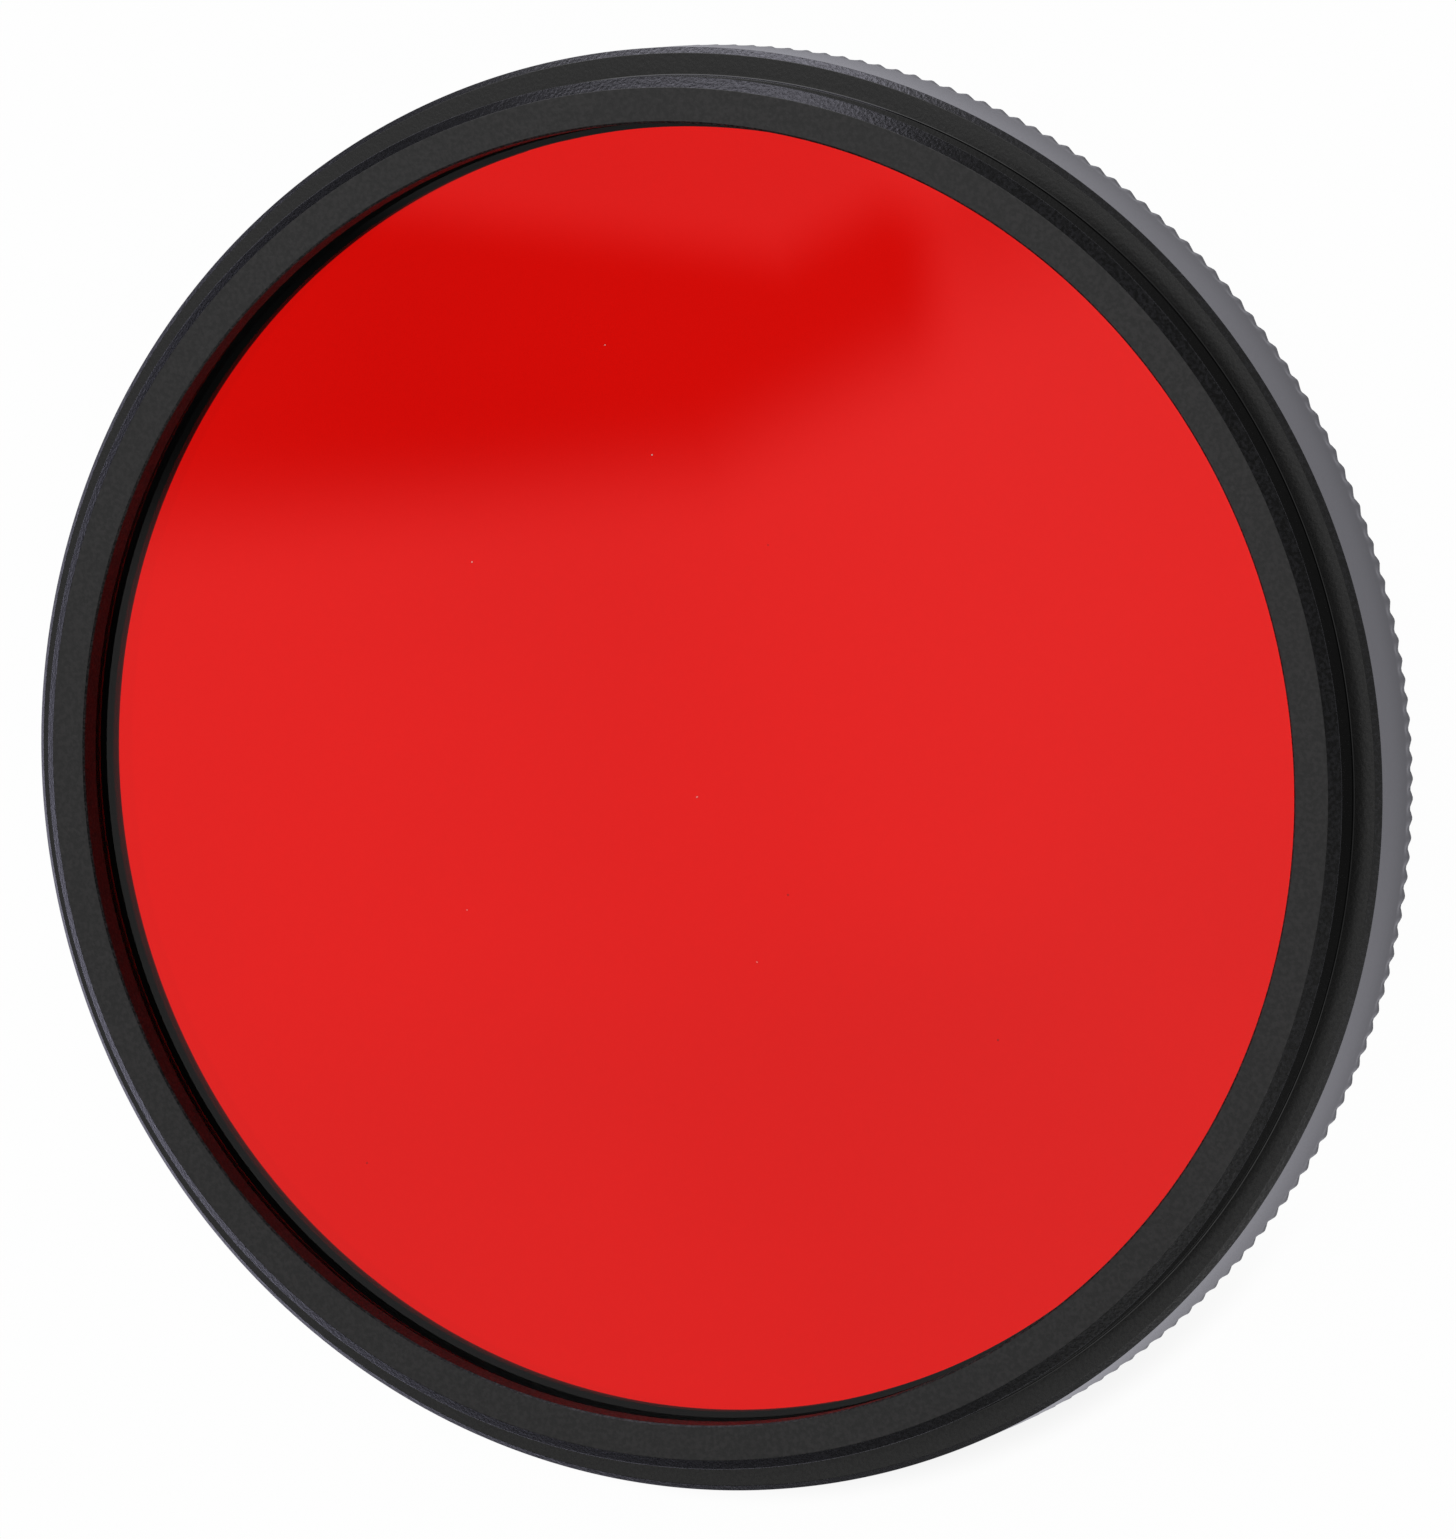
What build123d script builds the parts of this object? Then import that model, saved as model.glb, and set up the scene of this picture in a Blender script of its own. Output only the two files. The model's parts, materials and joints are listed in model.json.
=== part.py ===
from build123d import *
import math
import os

# Colour lens filter: a dyed glass disc in a turned ring, lying on its front rim with the lens side up.
# Lengths are in millimetres. The origin is the centre of the front rim, and +Z is the optical axis,
# pointing towards the lens.

# Radial sizes of the turned ring, from the spigot inwards and outwards
spigot_radius = 25.96
spigot_wall = 1.71
flange_width = 1.04
glass_overlap = 0.55
glass_side_play = 0.15
thread_height = 0.37

# Heights along the axis, from the front rim up
front_chamfer = 0.28
knurl_height = 0.80
land_height = 2.70
flange_bevel = 0.22
spigot_height = 1.70

# Edges of the turned ring
spigot_bevel = 0.40
mouth_chamfer = 0.07
thread_lead_in = 0.30

# Straight knurl round the front rim
tooth_count = 232
tooth_depth = 0.13
tooth_land = 0.09
knurl_cutter_overrun = 1.0

# Glass disc
mouth_depth = 1.03
glass_thickness = 1.80
glass_edge_chamfer = 0.20

# Retaining ring behind the glass
retainer_height = 0.70
retainer_width = 0.87
retainer_thread_play = 0.03
retainer_recess = 0.17
retainer_chamfer = 0.20
slot_count = 2
slot_width = 1.40
slot_depth = 0.35

# Places that follow from the sizes above
grip_radius = spigot_radius + flange_width
mouth_radius = spigot_radius - spigot_wall
glass_radius = mouth_radius + glass_overlap
pocket_radius = glass_radius + glass_side_play
thread_radius = spigot_radius - thread_height
retainer_radius = pocket_radius - retainer_thread_play
aperture_radius = retainer_radius - retainer_width

knurl_top = front_chamfer + knurl_height
shoulder = knurl_top + land_height + flange_bevel
top = shoulder + spigot_height
glass_back = top - mouth_depth
glass_front = glass_back - glass_thickness
retainer_front = glass_front - retainer_height
pocket_mouth = retainer_front - retainer_recess


def turned(outline):
    """A solid turned about Z from a closed outline of (radius, height) points."""
    with BuildPart() as blank:
        with BuildSketch(Plane.XZ):
            with BuildLine():
                Polyline(*outline, close=True)
            make_face()
        revolve(axis=Axis.Z)
    return blank.part


def knurl_grooves():
    """Everything outside the knurl's teeth, as one cutter that reaches from under the rim to the knurl's top.

    The teeth's flanks are carried on past the ring's wall, so that a narrow land stays on each tooth.
    """
    half_pitch = math.pi * grip_radius / tooth_count
    flank_slope = tooth_depth / (half_pitch - tooth_land / 2)
    flank_meeting_radius = grip_radius + flank_slope * tooth_land / 2
    root_radius = grip_radius - tooth_depth
    corners = []
    for step in range(2 * tooth_count):
        radius = root_radius if step % 2 else flank_meeting_radius
        angle = math.pi * step / tooth_count
        corners.append((radius * math.cos(angle), radius * math.sin(angle)))
    with BuildPart() as cutter:
        with BuildSketch(Plane.XY.offset(-knurl_cutter_overrun)):
            Circle(flank_meeting_radius + knurl_cutter_overrun)
            with BuildLine():
                Polyline(*corners, close=True)
            make_face(mode=Mode.SUBTRACT)
        extrude(amount=knurl_top + knurl_cutter_overrun)
    return cutter.part


def frame():
    """The turned ring: threaded front bore, glass pocket, inner lip, spigot, flange and knurled rim."""
    ring = turned([
        (thread_radius + thread_lead_in, 0),
        (grip_radius - front_chamfer, 0),
        (grip_radius, front_chamfer),
        (grip_radius, shoulder - flange_bevel),
        (grip_radius - flange_bevel, shoulder),
        (spigot_radius, shoulder),
        (spigot_radius, top - spigot_bevel),
        (spigot_radius - spigot_bevel, top),
        (mouth_radius + mouth_chamfer, top),
        (mouth_radius, top - mouth_chamfer),
        (mouth_radius, glass_back),
        (pocket_radius, glass_back),
        (pocket_radius, pocket_mouth),
        (thread_radius, pocket_mouth),
        (thread_radius, thread_lead_in),
    ])
    return ring - knurl_grooves()


def filter_glass():
    """The glass disc, with both edges ground."""
    with BuildPart() as disc:
        with Locations((0, 0, glass_front)):
            Cylinder(glass_radius, glass_thickness, align=(Align.CENTER, Align.CENTER, Align.MIN))
        chamfer(disc.edges().filter_by(GeomType.CIRCLE), glass_edge_chamfer)
    return disc.part


def retaining_ring():
    """The ring that is screwed in behind the glass, with a pair of slots for a spanner."""
    ring = turned([
        (aperture_radius + retainer_chamfer, retainer_front),
        (retainer_radius, retainer_front),
        (retainer_radius, glass_front),
        (aperture_radius, glass_front),
        (aperture_radius, retainer_front + retainer_chamfer),
    ])
    with BuildPart() as slots:
        with PolarLocations(retainer_radius, slot_count):
            Box(2 * retainer_width + 2 * retainer_chamfer, slot_width, 2 * slot_depth)
    return ring - Pos(0, 0, retainer_front) * slots.part


os.makedirs("parts", exist_ok=True)
export_step(frame(), "parts/frame.step")
export_step(filter_glass(), "parts/filter_glass.step")
export_step(retaining_ring(), "parts/retaining_ring.step")
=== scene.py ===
import json
import math
import random

import bmesh
import bpy
import numpy as np
from mathutils import Matrix, Vector


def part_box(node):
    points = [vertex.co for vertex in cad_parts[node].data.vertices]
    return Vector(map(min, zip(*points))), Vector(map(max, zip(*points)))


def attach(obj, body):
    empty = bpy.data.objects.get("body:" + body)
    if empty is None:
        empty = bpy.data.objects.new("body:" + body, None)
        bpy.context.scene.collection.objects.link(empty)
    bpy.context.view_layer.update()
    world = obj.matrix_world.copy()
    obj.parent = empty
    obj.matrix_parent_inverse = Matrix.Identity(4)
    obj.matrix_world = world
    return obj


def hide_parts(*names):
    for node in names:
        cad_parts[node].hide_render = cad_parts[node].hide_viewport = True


# A red colour lens filter, lying on its front rim with the lens side up, on a white table.
# Lengths are in metres. MM turns the sizes that are given in millimetres into metres.
MM = 0.001

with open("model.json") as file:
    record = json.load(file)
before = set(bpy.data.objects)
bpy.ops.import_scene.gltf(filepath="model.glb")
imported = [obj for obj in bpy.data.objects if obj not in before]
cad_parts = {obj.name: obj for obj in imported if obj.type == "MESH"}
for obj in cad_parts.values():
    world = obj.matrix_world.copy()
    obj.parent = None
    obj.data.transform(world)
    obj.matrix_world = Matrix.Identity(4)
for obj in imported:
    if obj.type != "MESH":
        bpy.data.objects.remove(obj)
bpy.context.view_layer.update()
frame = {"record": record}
mounts = {mount["name"]: mount for mount in frame["record"]["mounts"]}

# Camera, as worked out from the ring's edges in the photograph
IMAGE_WIDTH = 1456
IMAGE_HEIGHT = 1539
FOCAL_PIXELS = 10000
SENSOR_SIZE = 36
CAMERA_PLACE = Vector((-0.175, -146.061, 346.475)) * MM
CAMERA_TILT = math.radians(22.888)
CAMERA_ROLL = math.radians(-103.915)
CLIP_NEAR = 0.01
CLIP_FAR = 20.0

# Sizes and places that the frame gives
RING_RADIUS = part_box("frame")[1].x
RING_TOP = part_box("frame")[1].z
SPIGOT_RADIUS = mounts["spigot"]["dims"]["r_mm"] * MM
BORE_RADIUS = mounts["front_thread"]["dims"]["r_mm"] * MM
SHOULDER = mounts["lens_shoulder"]["pos_m"][2]
GLASS_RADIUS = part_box("filter_glass")[1].x
GLASS_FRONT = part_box("filter_glass")[0].z
GLASS_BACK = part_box("filter_glass")[1].z
RETAINER_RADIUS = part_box("retaining_ring")[1].x
RETAINER_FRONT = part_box("retaining_ring")[0].z

# Sizes that the solids have as well
FRONT_CHAMFER = 0.28 * MM
KNURL_HEIGHT = 0.80 * MM
FLANGE_BEVEL = 0.22 * MM
SPIGOT_BEVEL = 0.40 * MM
MOUTH_CHAMFER = 0.07 * MM
LEAD_IN = 0.30 * MM
GLASS_OVERLAP = 0.55 * MM
GLASS_PLAY = 0.15 * MM
GLASS_CHAMFER = 0.20 * MM
RETAINER_WIDTH = 0.87 * MM
RETAINER_RECESS = 0.17 * MM
RETAINER_CHAMFER = 0.20 * MM
SLOT_WIDTH = 1.40 * MM
SLOT_DEPTH = 0.35 * MM

# Places that follow from them
KNURL_TOP = FRONT_CHAMFER + KNURL_HEIGHT
MOUTH_RADIUS = GLASS_RADIUS - GLASS_OVERLAP
POCKET_RADIUS = GLASS_RADIUS + GLASS_PLAY
POCKET_MOUTH = RETAINER_FRONT - RETAINER_RECESS
APERTURE_RADIUS = RETAINER_RADIUS - RETAINER_WIDTH

# One tooth of the knurl as (place, depth) in millimetres, and the height from which its grooves run out
TOOTH_COUNT = 232
TOOTH_OUTLINE = [
    (-0.330, 0.110), (-0.190, 0.050), (-0.045, 0.002),
    (0.045, 0.002), (0.190, 0.050), (0.330, 0.110),
]
KNURL_FULL = 0.36 * MM

# Front thread: its section over one turn, as (share of the turn, share of the depth), and its run-out
THREAD_PITCH = 0.75 * MM
THREAD_DEPTH = 0.41 * MM
THREAD_SECTION = [(0, 0), (0.25, 0), (0.56, 1), (0.69, 1), (1, 0)]
THREAD_END = 0.05 * MM
THREAD_RUN_OUT = 0.25 * MM

# Broken edges, and the fineness of the meshes
FINE_EDGE = 0.03 * MM
EDGE = 0.05 * MM
EDGE_STEPS = 2
KNURL_ROWS = 6
THREAD_ROWS = 20
LEAD_IN_ROWS = 4
ROUND_STEPS = 360
WELD_DISTANCE = 1e-7

# Smooth steps, here and below, are two or four numbers: where the step starts and ends, and its values there.
CLOUD_TONE = (0.3, 0.7, 0.9, 1.1)
FLECK_GRAINS = (0.35, 0.70)
GLOSS_GRAINS = (0.3, 0.7)

# Finishes and painted shade of the black parts: colour, roughness, size and height of the grain, speckle,
# shine
# The ring is one black anodised finish; colour and shine are set zone by zone to how bright each zone looks
RING_FINISHES_AND_SHADE = {
    "face": ((0.0072, 0.0065, 0.0067), 0.37, 0.16 * MM, 0.006 * MM, 1.2, 0.5),
    # Flange: colour darker than the face's, as painted shade
    "flange": ((0.0022, 0.0021, 0.0020), 0.27, 0.16 * MM, 0.006 * MM, 2.5, 0.5),
    # Spigot wall: the darkest colour, as painted shade
    "spigot": ((0.0008, 0.0008, 0.0009), 0.10, 0.10 * MM, 0.001 * MM, 0.0, 0.5),
    "wall": ((0.004, 0.004, 0.0048), 0.20, 0.10 * MM, 0.002 * MM, 0.3, 0.5),
    "bevel": ((0.0042, 0.0042, 0.0048), 0.26, 0.14 * MM, 0.012 * MM, 3.0, 0.5),
    "rim": ((0.0045, 0.0045, 0.0052), 0.28, 0.14 * MM, 0.012 * MM, 3.0, 1.0),
    "mouth": ((0.014, 0.014, 0.0147), 0.40, 0.10 * MM, 0.006 * MM, 1.5, 0.20),
    # Bore: low shine that dims what it mirrors, as painted shade
    "bore": ((0.012, 0.012, 0.0122), 0.50, 0.10 * MM, 0.003 * MM, 0.3, 0.07),
}
RETAINER_FINISH = ((0.020, 0.020, 0.0205), 0.45, 0.09 * MM, 0.002 * MM, 0.0, 0.5)
ANODISED_IOR = 1.65
CLOUD_SIZE = 3 * MM
CLOUD_DETAIL = 3.0
DARKEST_FLECK = 0.9
GLOSS_CHANGE = 0.12

# Glass. Its faces whose normals point up or down by more than FLAT are shaded flat.
GLASS_DEEP = (0.760, 0.0018, 0.0004, 1.0)
GLASS_PALE = (0.785, 0.0021, 0.0005, 1.0)
GLASS_CLOUD_SIZE = 20 * MM
GLASS_CLOUDS = (0.35, 0.65)
GLASS_IOR = 1.5
FLAT = 0.99

# Dust on the glass: name, the flecks' places in the photograph in pixels, darkest and palest colour
DUST = [
    ("pale_dust", [(605, 345), (652, 455), (472, 562), (697, 797), (467, 910), (757, 962)],
     (0.5, 0.48, 0.46, 1), (0.9, 0.88, 0.86, 1)),
    ("dark_dust", [(768, 545), (788, 895), (998, 1040), (367, 1163)],
     (0.02, 0.01, 0.01, 1), (0.08, 0.04, 0.04, 1)),
]

# Flecks: the largest one's size, and shares of it. A pair holds the limits of a random draw.
DUST_SIZE = 0.045 * MM
DUST_SIZES = (0.6, 1.0)
DUST_WIDTHS = (0.5, 0.9)
DUST_DENTS = (0.7, 1.0)
DUST_HEIGHT = 0.3
SEED = 7

# Finish of the dust: size of the spots in its colour, and roughness
DUST_SPOT_SIZE = 0.02 * MM
DUST_ROUGHNESS = 0.8

# Gap between the light panels overhead, in slopes of a direction: across towards +X and along towards +Y.
# A bend is the place along where an edge of the gap lies lowest across, and its rise past it and before it.
GAP_NEAR = (0.021, 0.044, 0.0, 1.0)
GAP_NEAR_BEND = (0.416, 0.13, 0.22)
GAP_FAR = (0.046, 0.057, 1.0, 0.40)
GAP_FAR_BEND = (0.402, 0.38, 0.20)
GAP_SIDE = (0.3815, 0.3905, 0.5, 1.0)
GAP_FADING = (0.440, 0.500, 1.0, 0.80)

# Light from overhead, by the same slopes. Directions below the lowest height have the slopes of that height.
OVERHEAD = 0.42
OVERHEAD_GAP = 0.05
OVERHEAD_FRONT = (0.435, 0.370, 1.0, 1.2)
OVERHEAD_RISE = (0.075, 0.26, 0.0, 1.5)
OVERHEAD_RISE_ALONG = (0.05, 0.30, 0.0, 1.0)
OVERHEAD_FALL = (-0.075, -0.30, 1.0, 0.55)
LOWEST_HEIGHT = 0.02

# Light from low down, and panels at the sides: direction, reach in degrees, and strength inside the core
LOW_LIGHT = 0.11
LOW_TO_OVERHEAD = (0.45, 0.85, 0.0, 1.0)
SIDE_PANELS = [
    ((0.74, 0.16, 0.66), 32, 1.2),
    ((-0.74, -0.12, 0.66), 32, 0.8),
    ((-0.84, -0.48, 0.28), 45, 0.10),
]
SIDE_PANEL_CORE = 1 / 3

# Low softbox towards +X
SOFTBOX_PLACE = Vector((0.50, 0.03, 0.12))
SOFTBOX_AIM = Vector((0, 0, 0.003))
SOFTBOX_SIZE = (0.30, 0.20)
SOFTBOX_POWER = 0.36
SOFTBOX_COLOUR = (0.95, 0.93, 1.10)

# Table: its colour, and the share of plain white in it as the camera sees it
TABLE_REACH = 3.0
TABLE_COLOUR = (0.95, 0.95, 0.95, 1)
TABLE_SEEN = 0.98
WHITE = (1, 1, 1, 1)

# Shade on the table under the ring's edge at -X, by the place on X and by the distance from the ring
BENEATH_SIDE = (-20 * MM, -27 * MM, 0.0, 0.12)
BENEATH_WIDTH = (0.0, 1.3 * MM, 1.0, 0.0)

# Shade on the table as seen through the glass, by the gap and by the slope across.
# The drift is how far towards +Y a line of sight runs on, from the glass's upper face to the table.
THROUGH_GAP = (0.0, 1.0, 1.0, 0.83)
THROUGH_LOW = (-0.010, -0.035, 1.0, 0.94)
SIGHT_DRIFT = 1.69 * MM

# The table as the ring mirrors it, by the distance from the ring and by the place on Y and on X
MIRRORED_FADE = (5.5 * MM, 13 * MM, 1.15, 0.05)
MIRRORED_EDGE = (0.0, 1.0 * MM, 0.68, 1.0)
MIRRORED_BEHIND = (-12 * MM, 12 * MM, 0.0, 1.0)
MIRRORED_FRONT = 0.60
MIRRORED_SIDE = (15 * MM, -15 * MM, 0.70, 1.20)
MIRRORED_COOL = (-5 * MM, 25 * MM, 0.4, 1.0)
COOL_WHITE = (0.96, 0.94, 1.20, 1)


def add(name, data):
    """A new object in the scene."""
    made = bpy.data.objects.new(name, data)
    bpy.context.scene.collection.objects.link(made)
    return made


def put(tree, kind, inputs=None, **settings):
    """Adds a node, sets its options, and fills its sockets with values or other nodes' outputs."""
    made = tree.nodes.new(kind)
    for name, value in settings.items():
        setattr(made, name, value)
    for key, value in (inputs or {}).items():
        if isinstance(value, bpy.types.NodeSocket):
            tree.links.new(value, made.inputs[key])
        else:
            made.inputs[key].default_value = value
    return made


def maths(tree, operation, first, second=0.0):
    return put(tree, "ShaderNodeMath", {0: first, 1: second}, operation=operation).outputs[0]


def product(tree, value, *factors):
    """Multiplies the value by each factor in turn."""
    for factor in factors:
        value = maths(tree, "MULTIPLY", value, factor)
    return value


def ramp(tree, value, low, high, at_low, at_high):
    """A smooth step of value from at_low, at low, to at_high, at high."""
    sockets = {"Value": value, "From Min": low, "From Max": high, "To Min": at_low, "To Max": at_high}
    return put(tree, "ShaderNodeMapRange", sockets, interpolation_type="SMOOTHSTEP").outputs[0]


def bent(tree, value, place, rise_past, rise_before):
    """0 where value is at the place, and rising by a slope of its own on each side of it."""
    past = maths(tree, "SUBTRACT", value, place)
    return maths(tree, "MAXIMUM", product(tree, past, rise_past), product(tree, past, -rise_before))


def mix_values(tree, share, first, second):
    return put(tree, "ShaderNodeMix", {0: share, 2: first, 3: second}, data_type="FLOAT").outputs[0]


def mix_colours(tree, share, first, second):
    return put(tree, "ShaderNodeMix", {0: share, 6: first, 7: second}, data_type="RGBA").outputs[2]


def mix_shaders(tree, share, first, second):
    return put(tree, "ShaderNodeMixShader", {0: share, 1: first, 2: second}).outputs[0]


def noise(tree, size, detail=2.0):
    """Noise that is fixed to the object."""
    place = put(tree, "ShaderNodeTexCoord").outputs["Object"]
    sockets = {"Vector": place, "Scale": 1 / size, "Detail": detail}
    return put(tree, "ShaderNodeTexNoise", sockets).outputs["Fac"]


def panel_gap(tree, across, along):
    """The gap between the light panels overhead, from 0 outside it to 1 inside.

    across and along are the slopes of a direction towards +X and +Y.
    """
    near = ramp(tree, maths(tree, "SUBTRACT", across, bent(tree, along, *GAP_NEAR_BEND)), *GAP_NEAR)
    far = ramp(tree, maths(tree, "SUBTRACT", across, bent(tree, along, *GAP_FAR_BEND)), *GAP_FAR)
    return product(tree, near, far, ramp(tree, along, *GAP_SIDE), ramp(tree, along, *GAP_FADING))


def material(name):
    made = bpy.data.materials.new(name)
    made.use_nodes = True
    made.node_tree.nodes.clear()
    return made


def anodised(name, colour, roughness, grain_size, grain_height, speckle, shine):
    """Black anodised aluminium. speckle is how much darker and lighter its single grains are."""
    made = material(name)
    tree = made.node_tree
    grain = noise(tree, grain_size)
    tone = ramp(tree, noise(tree, CLOUD_SIZE, CLOUD_DETAIL), *CLOUD_TONE)
    fleck = ramp(tree, grain, *FLECK_GRAINS, 1 - min(speckle, DARKEST_FLECK), 1 + speckle)
    gloss = ramp(tree, grain, *GLOSS_GRAINS, roughness * (1 + GLOSS_CHANGE), roughness * (1 - GLOSS_CHANGE))
    tint = put(tree, "ShaderNodeVectorMath", {0: colour, "Scale": product(tree, tone, fleck)},
               operation="SCALE")
    bump = put(tree, "ShaderNodeBump", {"Height": grain, "Distance": grain_height, "Strength": 1.0})
    shader = put(tree, "ShaderNodeBsdfPrincipled", {
        "Base Color": tint.outputs[0], "Roughness": gloss, "IOR": ANODISED_IOR, "Specular IOR Level": shine,
        "Normal": bump.outputs[0]})
    put(tree, "ShaderNodeOutputMaterial", {"Surface": shader.outputs[0]})
    return made


def red_glass():
    made = material("red_glass")
    tree = made.node_tree
    clouds = ramp(tree, noise(tree, GLASS_CLOUD_SIZE), *GLASS_CLOUDS, 0.0, 1.0)
    tint = mix_colours(tree, clouds, GLASS_DEEP, GLASS_PALE)
    shader = put(tree, "ShaderNodeBsdfPrincipled", {
        "Base Color": tint, "Roughness": 0.0, "IOR": GLASS_IOR, "Transmission Weight": 1.0})
    put(tree, "ShaderNodeOutputMaterial", {"Surface": shader.outputs[0]})
    return made


def dust_tone(name, dark, pale):
    made = material(name)
    tree = made.node_tree
    tint = mix_colours(tree, noise(tree, DUST_SPOT_SIZE), dark, pale)
    shader = put(tree, "ShaderNodeBsdfPrincipled", {"Base Color": tint, "Roughness": DUST_ROUGHNESS})
    put(tree, "ShaderNodeOutputMaterial", {"Surface": shader.outputs[0]})
    return made


def eased(corners):
    """Rounds the corners of a closed outline of (radius, height, ease, finish) into rows for lathe.

    A corner's finish is that of its own arc and of the stretch after it.
    """
    rows = []
    for index, (radius, height, ease, finish) in enumerate(corners):
        if ease == 0:
            rows.append((radius, height, finish))
            continue
        corner = Vector((radius, height))
        before = Vector(corners[index - 1][:2]) - corner
        after = Vector(corners[(index + 1) % len(corners)][:2]) - corner
        half = before.angle(after) / 2
        reach = ease / math.tan(half)
        middle = corner + (before.normalized() + after.normalized()).normalized() * (ease / math.sin(half))
        start = corner + before.normalized() * reach - middle
        end = corner + after.normalized() * reach - middle
        turn = math.pi - 2 * half
        if start.x * end.y < start.y * end.x:
            turn = -turn
        for step in range(EDGE_STEPS + 1):
            spoke = Matrix.Rotation(turn * step / EDGE_STEPS, 2) @ start
            rows.append((middle.x + spoke.x, middle.y + spoke.y, finish))
    return rows


def between(start, end, parts, finish):
    """Sharp corners that divide the stretch from start to end into equal parts, without the two ends."""
    corners = []
    for step in range(1, parts):
        radius = start[0] + (end[0] - start[0]) * step / parts
        height = start[1] + (end[1] - start[1]) * step / parts
        corners.append((radius, height, 0, finish))
    return corners


def lathe(name, rows, angles, finishes, shape=None, closed=True):
    """Turns rows of (radius, height, finish) round the Z axis.

    shape(angles, radii, heights) may move the points of a row.
    """
    count, length = len(angles), len(rows)
    points = np.zeros((length, count, 3))
    for index, (radius, height, finish) in enumerate(rows):
        radii, heights = np.full(count, radius), np.full(count, height)
        if shape:
            radii, heights = shape(angles, radii, heights)
        points[index] = np.stack([radii * np.cos(angles), radii * np.sin(angles), heights], axis=1)
    faces, kinds = [], []
    for index in range(length if closed else length - 1):
        following = (index + 1) % length
        for turn in range(count):
            side = (turn + 1) % count
            faces.append((index * count + turn, index * count + side,
                          following * count + side, following * count + turn))
            kinds.append(rows[index][2])
    mesh = bpy.data.meshes.new(name)
    mesh.from_pydata(points.reshape(-1, 3).tolist(), [], faces)
    names = list(finishes)
    for finish in names:
        mesh.materials.append(finishes[finish])
    mesh.polygons.foreach_set("material_index", [names.index(kind) for kind in kinds])
    mesh.polygons.foreach_set("use_smooth", [True] * len(faces))
    mesh.update()
    return add(name, mesh)


def welded(mesh):
    """An editable copy of the mesh, with points that fall together joined and the faces turned outwards."""
    built = bmesh.new()
    built.from_mesh(mesh)
    bmesh.ops.remove_doubles(built, verts=built.verts, dist=WELD_DISTANCE)
    bmesh.ops.recalc_face_normals(built, faces=built.faces)
    return built


def tidy_mesh(piece):
    """Welds the mesh, and lets wide faces set the shading at their edges."""
    mesh = piece.data
    built = welded(mesh)
    built.to_mesh(mesh)
    built.free()
    normals, areas = np.empty(3 * len(mesh.polygons)), np.empty(len(mesh.polygons))
    corners, sides = np.empty(len(mesh.loops), int), np.empty(len(mesh.polygons), int)
    mesh.polygons.foreach_get("normal", normals)
    mesh.polygons.foreach_get("area", areas)
    mesh.polygons.foreach_get("loop_total", sides)
    mesh.loops.foreach_get("vertex_index", corners)
    weighted = normals.reshape(-1, 3) * (areas / areas.mean())[:, None] ** 2
    summed = np.zeros((len(mesh.vertices), 3))
    np.add.at(summed, corners, np.repeat(weighted, sides, axis=0))
    mesh.normals_split_custom_set_from_vertices(summed / np.linalg.norm(summed, axis=1)[:, None])


def tooth_angles():
    """An angle for each point of the knurl's outline, tooth after tooth, with a tooth's middle at angle 0."""
    pitch = 2 * math.pi / TOOTH_COUNT
    offsets = [place * MM / RING_RADIUS for place, depth in TOOTH_OUTLINE]
    return np.array([tooth * pitch + offset for tooth in range(TOOTH_COUNT) for offset in offsets])


def thread_groove(angles, heights):
    """How deep the front thread is cut, from 0 on its crests to 1 at its roots."""
    turn = (heights / THREAD_PITCH - angles / (2 * math.pi)) % 1.0
    groove = np.interp(turn, *zip(*THREAD_SECTION))
    return groove * np.clip((POCKET_MOUTH - THREAD_END - heights) / THREAD_RUN_OUT, 0, 1)


def ring_shape(angles, radii, heights):
    """Cuts the knurl into the outer wall and the thread into the front bore."""
    height, radius = heights[0], radii[0]
    if radius > RING_RADIUS - FRONT_CHAMFER and height < KNURL_TOP:
        depths = np.tile([depth * MM for place, depth in TOOTH_OUTLINE], TOOTH_COUNT)
        run_out = np.interp(height, [KNURL_FULL, KNURL_TOP], [0, math.pi])
        radii = np.minimum(radii, RING_RADIUS - depths * (1 + math.cos(run_out)) / 2)
    if BORE_RADIUS - EDGE < radius < BORE_RADIUS + LEAD_IN and 0 < height < POCKET_MOUTH:
        radii = np.maximum(radii, BORE_RADIUS + THREAD_DEPTH * thread_groove(angles, heights))
    return radii, heights


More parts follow.
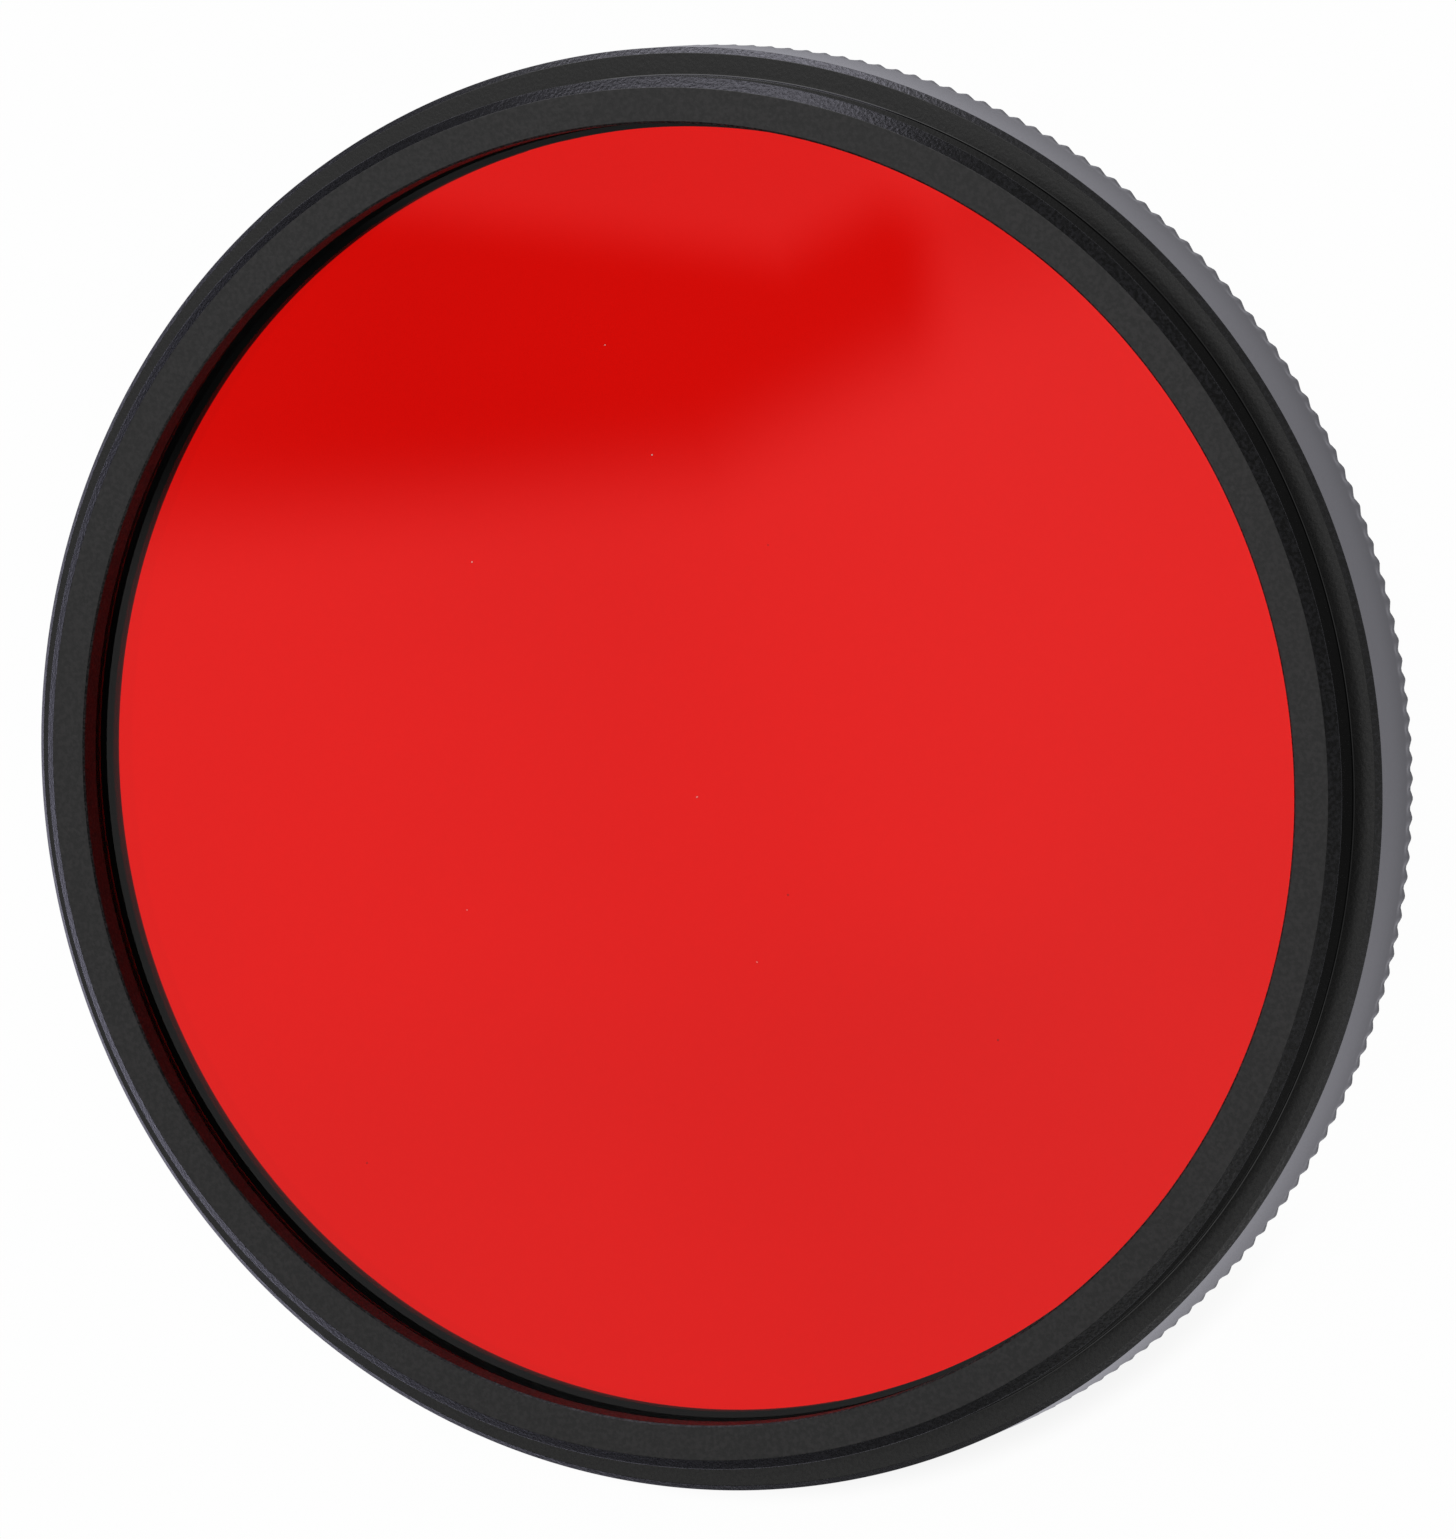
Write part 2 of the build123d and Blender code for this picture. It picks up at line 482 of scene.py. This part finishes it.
def turned_ring(finishes):
    """The whole black ring, from the front rim out and up, over the spigot, and down through the bore."""
    chamfer_end = (RING_RADIUS, FRONT_CHAMFER)
    thread_end = (BORE_RADIUS, LEAD_IN)
    rows = eased([
        (BORE_RADIUS + LEAD_IN, 0, FINE_EDGE, "face"),
        (RING_RADIUS - FRONT_CHAMFER, 0, EDGE, "bevel"),
        *between((RING_RADIUS - FRONT_CHAMFER, 0), chamfer_end, 2, "bevel"),
        (*chamfer_end, 0, "wall"),
        *between(chamfer_end, (RING_RADIUS, KNURL_TOP), KNURL_ROWS, "wall"),
        (RING_RADIUS, KNURL_TOP, 0, "wall"),
        (RING_RADIUS, SHOULDER - FLANGE_BEVEL, FINE_EDGE, "rim"),
        (RING_RADIUS - FLANGE_BEVEL, SHOULDER, FINE_EDGE, "flange"),
        (SPIGOT_RADIUS, SHOULDER, EDGE, "spigot"),
        (SPIGOT_RADIUS, RING_TOP - SPIGOT_BEVEL, EDGE, "bevel"),
        (SPIGOT_RADIUS - SPIGOT_BEVEL, RING_TOP, FINE_EDGE, "face"),
        (MOUTH_RADIUS + MOUTH_CHAMFER, RING_TOP, FINE_EDGE / 2, "mouth"),
        (MOUTH_RADIUS, RING_TOP - MOUTH_CHAMFER, FINE_EDGE / 2, "bore"),
        (MOUTH_RADIUS, GLASS_BACK, FINE_EDGE, "bore"),
        (POCKET_RADIUS, GLASS_BACK, 0, "bore"),
        (POCKET_RADIUS, POCKET_MOUTH, FINE_EDGE, "bore"),
        (BORE_RADIUS, POCKET_MOUTH, FINE_EDGE, "bore"),
        *between((BORE_RADIUS, POCKET_MOUTH), thread_end, THREAD_ROWS, "bore"),
        (*thread_end, 0, "bore"),
        *between(thread_end, (BORE_RADIUS + LEAD_IN, 0), LEAD_IN_ROWS, "bore"),
    ])
    ring = lathe("turned_ring", rows, tooth_angles(), finishes, ring_shape)
    tidy_mesh(ring)
    return ring


def even_angles():
    return np.arange(ROUND_STEPS) * 2 * math.pi / ROUND_STEPS


def glass_disc(finish):
    """The glass disc with its ground edges. Its two faces are exactly flat."""
    rows = [
        (0, GLASS_FRONT, "glass"),
        (GLASS_RADIUS - GLASS_CHAMFER, GLASS_FRONT, "glass"),
        (GLASS_RADIUS, GLASS_FRONT + GLASS_CHAMFER, "glass"),
        (GLASS_RADIUS, GLASS_BACK - GLASS_CHAMFER, "glass"),
        (GLASS_RADIUS - GLASS_CHAMFER, GLASS_BACK, "glass"),
        (0, GLASS_BACK, "glass"),
    ]
    disc = lathe("red_glass_disc", rows, even_angles(), {"glass": finish}, closed=False)
    built = welded(disc.data)
    for face in built.faces:
        face.smooth = abs(face.normal.z) < FLAT
    built.to_mesh(disc.data)
    built.free()
    return disc


def slot_angles():
    """Even angles, with one more at each side of the two spanner slots."""
    half = SLOT_WIDTH / 2 / APERTURE_RADIUS
    sides = [centre + side * half for centre in (0, math.pi) for side in (-1, 1)]
    return np.array(sorted(list(even_angles()) + [side % (2 * math.pi) for side in sides]))


def retainer_shape(angles, radii, heights):
    """Sinks the spanner slots into the front face. Their side walls lean out to the next even angle."""
    in_slot = np.abs(np.sin(angles)) * APERTURE_RADIUS < SLOT_WIDTH / 2
    return radii, np.where(in_slot, np.maximum(heights, RETAINER_FRONT + SLOT_DEPTH), heights)


def glass_retainer(finish):
    """The ring behind the glass."""
    rows = eased([
        (APERTURE_RADIUS + RETAINER_CHAMFER, RETAINER_FRONT, FINE_EDGE, "black"),
        (RETAINER_RADIUS, RETAINER_FRONT, FINE_EDGE, "black"),
        (RETAINER_RADIUS, GLASS_FRONT, 0, "black"),
        (APERTURE_RADIUS, GLASS_FRONT, 0, "black"),
        (APERTURE_RADIUS, RETAINER_FRONT + RETAINER_CHAMFER, FINE_EDGE, "black"),
    ])
    ring = lathe("glass_retainer", rows, slot_angles(), {"black": finish}, retainer_shape)
    tidy_mesh(ring)
    return ring


def on_glass(pixel):
    """The point of the glass's upper face that a pixel of the photograph shows."""
    camera = bpy.context.scene.camera.matrix_world
    ray = Vector((pixel[0] - IMAGE_WIDTH / 2, IMAGE_HEIGHT / 2 - pixel[1], -FOCAL_PIXELS))
    sight = camera.to_3x3() @ ray
    return camera.translation + sight * ((GLASS_BACK - camera.translation.z) / sight.z)


def glass_dust(name, pixels, finish):
    """Uneven flecks of dust that lie on the glass."""
    chance = random.Random(SEED)
    built = bmesh.new()
    for pixel in pixels:
        spot = on_glass(pixel)
        size = DUST_SIZE * chance.uniform(*DUST_SIZES)
        turn = Matrix.Rotation(chance.uniform(0, math.pi), 4, "Z")
        shape = Matrix.Diagonal((size, size * chance.uniform(*DUST_WIDTHS), size * DUST_HEIGHT, 1))
        placing = Matrix.Translation(spot) @ turn @ shape
        fleck = bmesh.ops.create_icosphere(built, subdivisions=2, radius=1, matrix=placing)
        for point in fleck["verts"]:
            point.co = spot + (point.co - spot) * chance.uniform(*DUST_DENTS)
    mesh = bpy.data.meshes.new(name)
    built.to_mesh(mesh)
    built.free()
    mesh.materials.append(finish)
    return add(name, mesh)


def shade_beneath(tree, place, beyond):
    """Soft shade along the ring's edge at -X."""
    return product(tree, ramp(tree, place[0], *BENEATH_SIDE), ramp(tree, beyond, *BENEATH_WIDTH))


def shade_through(tree, place):
    """Shade on the table as seen through the glass.

    It lies where the photograph's camera sees the gap between the panels mirrored in the glass, so that both
    darken the same part of it. It is fixed to the table, and worked out for that camera's place only.
    """
    height = CAMERA_PLACE.z - GLASS_BACK
    across = maths(tree, "DIVIDE", maths(tree, "SUBTRACT", place[0], CAMERA_PLACE.x), height)
    along = maths(tree, "DIVIDE", maths(tree, "SUBTRACT", place[1], CAMERA_PLACE.y + SIGHT_DRIFT), height)
    gap = ramp(tree, panel_gap(tree, across, along), *THROUGH_GAP)
    return product(tree, gap, ramp(tree, across, *THROUGH_LOW))


def light_mirrored(tree, place, beyond):
    """How bright the ring mirrors the table: dark far away, bright near by, and less so right beside it."""
    by_place = mix_values(tree, ramp(tree, place[1], *MIRRORED_BEHIND), MIRRORED_FRONT,
                          ramp(tree, place[0], *MIRRORED_SIDE))
    level = product(tree, ramp(tree, beyond, *MIRRORED_FADE), by_place, ramp(tree, beyond, *MIRRORED_EDGE))
    return maths(tree, "MINIMUM", level, 1.0)


def floor_material():
    """A white table, clear when seen from below.

    It is nearly plain white to the camera. Seen through the glass, or mirrored, it has the light and shade
    that are set above.
    """
    made = material("white_table")
    tree = made.node_tree
    path = put(tree, "ShaderNodeLightPath").outputs
    surface = put(tree, "ShaderNodeNewGeometry").outputs
    place = put(tree, "ShaderNodeSeparateXYZ", {0: surface["Position"]}).outputs
    away = put(tree, "ShaderNodeVectorMath", {0: surface["Position"]}, operation="LENGTH").outputs["Value"]
    beyond = maths(tree, "MAXIMUM", maths(tree, "SUBTRACT", away, RING_RADIUS), 0.0)

    seen = path["Is Camera Ray"]
    through = path["Is Transmission Ray"]
    mirrored = product(tree, path["Is Glossy Ray"], maths(tree, "SUBTRACT", 1.0, through))
    strength = maths(tree, "ADD", product(tree, through, shade_through(tree, place)), seen)
    strength = maths(tree, "ADD", strength, product(tree, mirrored, light_mirrored(tree, place, beyond)))
    plain = maths(tree, "SUBTRACT", TABLE_SEEN, shade_beneath(tree, place, beyond))
    share = maths(tree, "ADD", maths(tree, "ADD", product(tree, seen, plain), through), mirrored)
    cool = product(tree, mirrored, ramp(tree, place[1], *MIRRORED_COOL))

    matt = put(tree, "ShaderNodeBsdfDiffuse", {"Color": TABLE_COLOUR}).outputs[0]
    tint = mix_colours(tree, cool, WHITE, COOL_WHITE)
    glow = put(tree, "ShaderNodeEmission", {"Color": tint, "Strength": strength}).outputs[0]
    clear = put(tree, "ShaderNodeBsdfTransparent").outputs[0]
    sided = mix_shaders(tree, surface["Backfacing"], mix_shaders(tree, share, matt, glow), clear)
    put(tree, "ShaderNodeOutputMaterial", {"Surface": sided})
    return made


def table():
    mesh = bpy.data.meshes.new("table")
    corners = [(x * TABLE_REACH, y * TABLE_REACH, 0) for x, y in ((-1, -1), (1, -1), (1, 1), (-1, 1))]
    mesh.from_pydata(corners, [], [(0, 1, 2, 3)])
    mesh.materials.append(floor_material())
    made = add("table", mesh)


def overhead_light(tree, across, along):
    """The panels overhead, with the gap between them: brighter towards +X and darker towards -X."""
    lit_part = ramp(tree, panel_gap(tree, across, along), 0.0, 1.0, 1.0, OVERHEAD_GAP / OVERHEAD)
    rise = product(tree, ramp(tree, across, *OVERHEAD_RISE), ramp(tree, along, *OVERHEAD_RISE_ALONG))
    return product(tree, OVERHEAD, lit_part, ramp(tree, along, *OVERHEAD_FRONT),
                   ramp(tree, across, *OVERHEAD_FALL), maths(tree, "ADD", rise, 1.0))


def side_panel(tree, way, centre, reach, strength):
    """A round panel of light towards its centre, that fades from its core outwards."""
    towards = put(tree, "ShaderNodeVectorMath", {0: way, 1: Vector(centre).normalized()},
                  operation="DOT_PRODUCT").outputs["Value"]
    edge, core = math.radians(reach), math.radians(reach * SIDE_PANEL_CORE)
    return ramp(tree, towards, math.cos(edge), math.cos(core), 0.0, strength)


def studio():
    """Soft light from overhead and from the sides. The camera sees plain white in its place."""
    world = bpy.data.worlds.new("studio")
    bpy.context.scene.world = world
    world.use_nodes = True
    tree = world.node_tree
    tree.nodes.clear()
    path = put(tree, "ShaderNodeLightPath").outputs
    way = put(tree, "ShaderNodeTexCoord").outputs["Generated"]
    direction = put(tree, "ShaderNodeSeparateXYZ", {0: way}).outputs
    upward = maths(tree, "MAXIMUM", direction[2], LOWEST_HEIGHT)
    across = maths(tree, "DIVIDE", direction[0], upward)
    along = maths(tree, "DIVIDE", direction[1], upward)
    level = mix_values(tree, ramp(tree, direction[2], *LOW_TO_OVERHEAD), LOW_LIGHT,
                       overhead_light(tree, across, along))
    for panel in SIDE_PANELS:
        level = maths(tree, "ADD", level, side_panel(tree, way, *panel))
    lit = put(tree, "ShaderNodeBackground", {"Color": WHITE, "Strength": level}).outputs[0]
    plain = put(tree, "ShaderNodeBackground", {"Color": WHITE, "Strength": 1.0}).outputs[0]
    direct = maths(tree, "MAXIMUM", path["Is Camera Ray"], path["Is Transmission Ray"])
    put(tree, "ShaderNodeOutputWorld", {"Surface": mix_shaders(tree, direct, lit, plain)})


def low_softbox():
    lamp = bpy.data.lights.new("low_softbox", "AREA")
    lamp.color = SOFTBOX_COLOUR
    lamp.shape = "RECTANGLE"
    lamp.size, lamp.size_y = SOFTBOX_SIZE
    lamp.energy = SOFTBOX_POWER
    made = add("low_softbox", lamp)
    made.location = SOFTBOX_PLACE
    made.rotation_mode = "QUATERNION"
    made.rotation_quaternion = (SOFTBOX_AIM - SOFTBOX_PLACE).to_track_quat("-Z", "Y")
    made.visible_camera = False


def photo_camera():
    data = bpy.data.cameras.new("photo_camera")
    data.sensor_width = SENSOR_SIZE
    data.lens = FOCAL_PIXELS / IMAGE_HEIGHT * SENSOR_SIZE
    data.clip_start, data.clip_end = CLIP_NEAR, CLIP_FAR
    made = add("photo_camera", data)
    turn = Matrix.Rotation(CAMERA_TILT, 4, "X") @ Matrix.Rotation(CAMERA_ROLL, 4, "Z")
    made.matrix_world = Matrix.Translation(CAMERA_PLACE) @ turn
    bpy.context.scene.camera = made


photo_camera()
bpy.context.scene.view_settings.view_transform = "Standard"
table()
studio()
low_softbox()

ring_finishes_and_shade = {part: anodised("anodised_" + part, *looks) for part, looks in RING_FINISHES_AND_SHADE.items()}
pieces = [
    (turned_ring(ring_finishes_and_shade), "frame", "anodised"),
    (glass_disc(red_glass()), "filter_glass", "red_glass"),
    (glass_retainer(anodised("retainer_black", *RETAINER_FINISH)), "retaining_ring", "retainer_black"),
]
for piece, node, slot in pieces:
    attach(piece, "root")
    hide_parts(node)

for name, pixels, dark, pale in DUST:
    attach(glass_dust(name, pixels, dust_tone(name, dark, pale)), "root")

bpy.context.view_layer.update()
